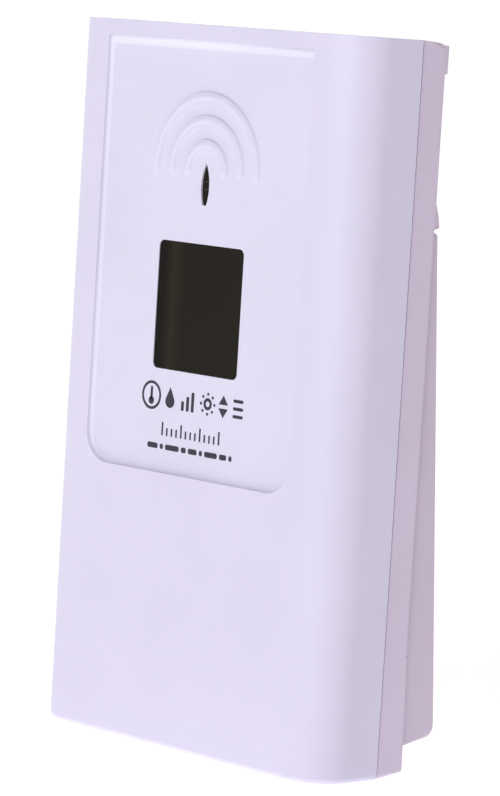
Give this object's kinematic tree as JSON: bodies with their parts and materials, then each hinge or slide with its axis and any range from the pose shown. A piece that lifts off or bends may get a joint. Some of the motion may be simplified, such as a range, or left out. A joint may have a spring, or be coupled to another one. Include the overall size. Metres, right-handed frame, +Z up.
{
  "type": "wireless outdoor temperature and humidity sensor",
  "caption": "Upright white plastic sensor housing with a small dark display window, an indicator slot under raised arcs and a wedge-shaped battery door on its back.",
  "frame": {"origin": "middle of the base, at the centre of the overall bounding box in X and Y", "axes": "+Z up along the housing, front face with the display towards -Y, +X to the viewer's right"},
  "size_m": [0.0664, 0.0265, 0.113],
  "materials": {
    "shell_white": "satin moulded ABS, white",
    "shell_rear": "satin moulded ABS, white",
    "window_smoke": "clear acrylic, smoked",
    "lens_smoke": "smoked acrylic",
    "lcd_glass": "display glass with polariser",
    "holder_black": "black plastic",
    "rubber_pink": "silicone",
    "board_green": "fibreglass with solder mask",
    "epoxy_black": "epoxy",
    "can_metal": "plated steel",
    "capacitor_sleeve": "shrunk sleeve",
    "led_red": "tinted epoxy",
    "copper_wire": "enamelled copper",
    "sensor_white": "white plastic",
    "switch_metal": "stamped steel",
    "button_grey": "grey plastic",
    "contact_nickel": "nickel-plated spring steel",
    "cell_can": "printed sleeve",
    "screw_steel": "zinc-plated steel"
  },
  "bodies": {
    "sensor_body": {"front_housing": "shell_white", "rear_housing": "shell_rear", "display_window": "window_smoke", "indicator_lens": "lens_smoke", "lcd_panel": "lcd_glass", "lcd_holder": "holder_black", "zebra_strip": "rubber_pink", "main_board": "board_green", "controller_chip": "epoxy_black", "crystal": "can_metal", "storage_capacitor": "capacitor_sleeve", "status_led": "led_red", "radio_board": "board_green", "radio_can": "can_metal", "antenna_coil": "copper_wire", "humidity_sensor": "sensor_white", "thermistor": "epoxy_black", "reset_switch": "switch_metal", "unit_switch": "switch_metal", "channel_switch": "switch_metal", "positive_contact": "contact_nickel", "negative_contact": "contact_nickel", "bridge_contact": "contact_nickel", "left_cell": "cell_can", "right_cell": "cell_can", "board_screws": "screw_steel", "housing_screws": "screw_steel"},
    "door": {"battery_door": "shell_rear"},
    "reset_key": {"reset_button": "button_grey", "reset_stem": "holder_black"},
    "unit_key": {"unit_button": "button_grey", "unit_stem": "holder_black"},
    "channel_knob": {"channel_slider": "button_grey", "channel_lever": "holder_black"}
  },
  "joints": [
    {"name": "door_hinge", "type": "hinge", "parent": "sensor_body", "child": "door", "pos_m": [0, 0.006, 0.005], "axis": [-1, 0, 0], "range_deg": [0, 50]},
    {"name": "reset_press", "type": "slide", "parent": "sensor_body", "child": "reset_key", "axis": [0, -1, 0], "range_m": [0, 0.0005], "stiffness_N_per_m": 4000},
    {"name": "unit_press", "type": "slide", "parent": "sensor_body", "child": "unit_key", "axis": [0, -1, 0], "range_m": [0, 0.0005], "stiffness_N_per_m": 4000},
    {"name": "channel_slide", "type": "slide", "parent": "sensor_body", "child": "channel_knob", "axis": [1, 0, 0], "range_m": [-0.002, 0.002]}
  ]
}
